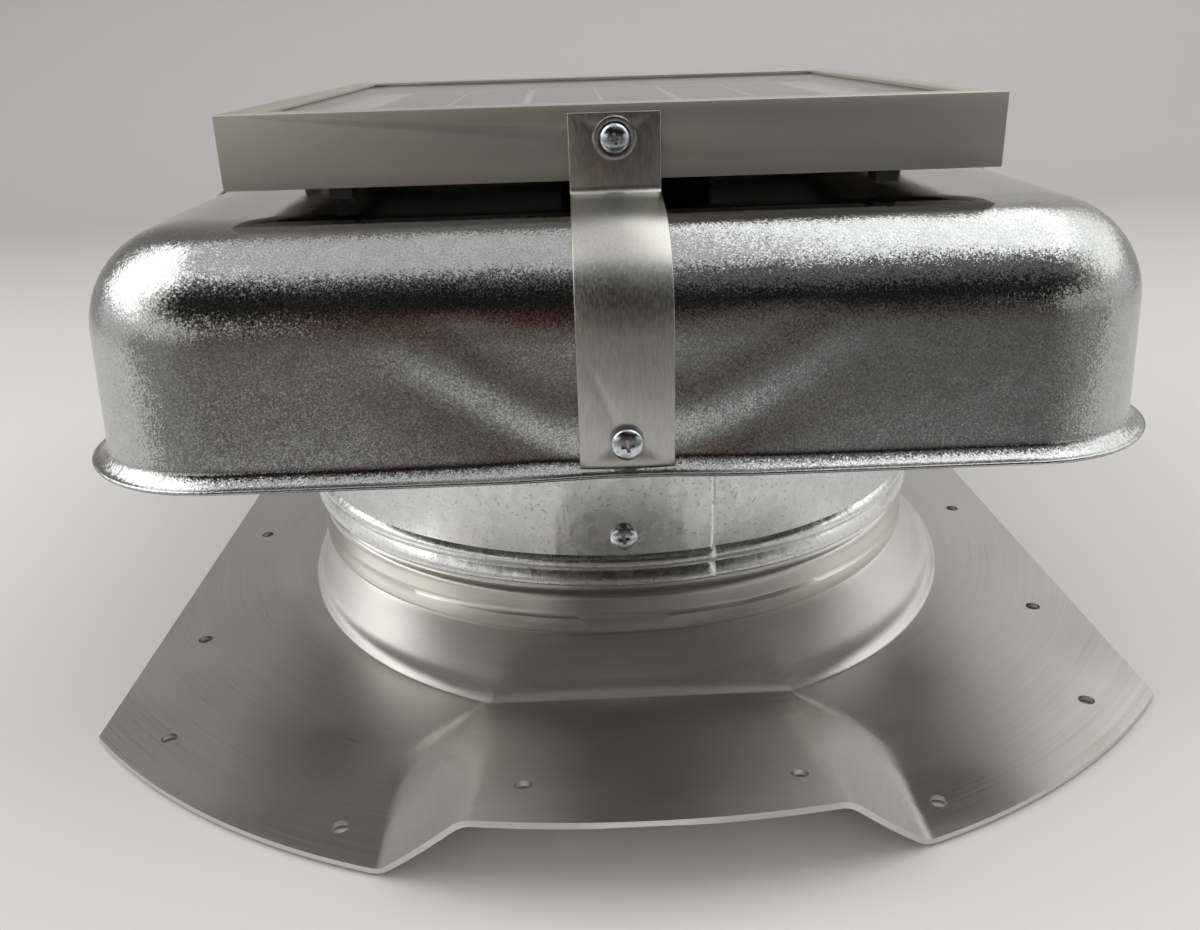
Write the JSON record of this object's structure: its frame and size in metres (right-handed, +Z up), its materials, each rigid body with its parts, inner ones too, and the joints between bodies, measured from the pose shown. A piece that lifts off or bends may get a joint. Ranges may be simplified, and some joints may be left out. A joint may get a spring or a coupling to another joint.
{
  "type": "solar attic fan",
  "caption": "Roof vent with a spun flashing, round neck and square metal hood, a solar panel strapped on top and an axial fan turning in the throat.",
  "frame": {"origin": "fan axis, at the underside of the flat flashing, where the roof is", "axes": "+Z up out of the roof along the fan axis; -Y towards the raised front apron; +X to the right seen from the front"},
  "size_m": [0.322, 0.429, 0.177],
  "materials": {
    "galvanised": "satin galvanised sheet steel, fine spangle",
    "spun_aluminium": "satin spun aluminium with fine circular lines",
    "mill_aluminium": "mill-finish aluminium strap",
    "anodised_frame": "satin anodised extrusion",
    "zinc_fastener": "bright zinc plated steel",
    "solar_glass": "clear tempered glass",
    "silicon_cell": "dark blue-black crystalline silicon",
    "tinned_ribbon": "tinned copper ribbon",
    "white_backsheet": "white polymer sheet",
    "black_plastic": "moulded black plastic",
    "black_rubber": "soft black rubber",
    "lead_jacket": "extruded black cable jacket",
    "motor_steel": "black painted steel can",
    "bright_steel": "ground steel",
    "bronze": "sintered bronze",
    "copper": "enamelled copper",
    "ferrite": "sintered ferrite",
    "laminations": "stacked steel laminations",
    "carbon": "carbon brush",
    "blade_aluminium": "pressed aluminium"
  },
  "bodies": {
    "vent_body": {"brush_holders": "black_plastic", "cell_ribbons": "tinned_ribbon", "frame_corner_keys": "mill_aluminium", "frame_rail_back": "anodised_frame", "frame_rail_front": "anodised_frame", "frame_rail_left": "anodised_frame", "frame_rail_right": "anodised_frame", "hood": "galvanised", "hood_legs": "galvanised", "insect_screen": "galvanised", "junction_box": "black_plastic", "junction_box_gland": "black_rubber", "junction_box_lid": "black_plastic", "junction_box_screws": "zinc_fastener", "lead_clips": "black_plastic", "leg_neck_rivets": "mill_aluminium", "motor_bearings": "bronze", "motor_brushes": "carbon", "motor_can": "motor_steel", "motor_end_cap": "black_plastic", "motor_gland": "black_rubber", "motor_lead": "lead_jacket", "motor_magnets": "ferrite", "motor_mount_screws": "zinc_fastener", "motor_spider": "galvanised", "neck_collar": "galvanised", "neck_screw_nuts": "zinc_fastener", "neck_screws": "zinc_fastener", "panel_backsheet": "white_backsheet", "panel_bumpers": "black_rubber", "panel_glass": "solar_glass", "roof_flashing": "spun_aluminium", "roof_grommet": "black_rubber", "solar_cells": "silicon_cell", "strap_back": "mill_aluminium", "strap_cup_washers": "zinc_fastener", "strap_front": "mill_aluminium", "strap_hood_nuts": "zinc_fastener", "strap_hood_screws": "zinc_fastener", "strap_left": "mill_aluminium", "strap_panel_screws": "zinc_fastener", "strap_right": "mill_aluminium", "terminal_block": "black_plastic"},
    "fan_rotor": {"motor_shaft": "bright_steel", "armature_core": "laminations", "armature_windings": "copper", "commutator": "copper", "fan_hub": "mill_aluminium", "fan_blades": "blade_aluminium", "fan_rivets": "mill_aluminium", "hub_set_screw": "zinc_fastener"}
  },
  "joints": [
    {"name": "fan_spin", "type": "hinge", "parent": "vent_body", "child": "fan_rotor", "pos_m": [0, 0, 0.078], "axis": [0, 0, 1], "continuous": true}
  ]
}
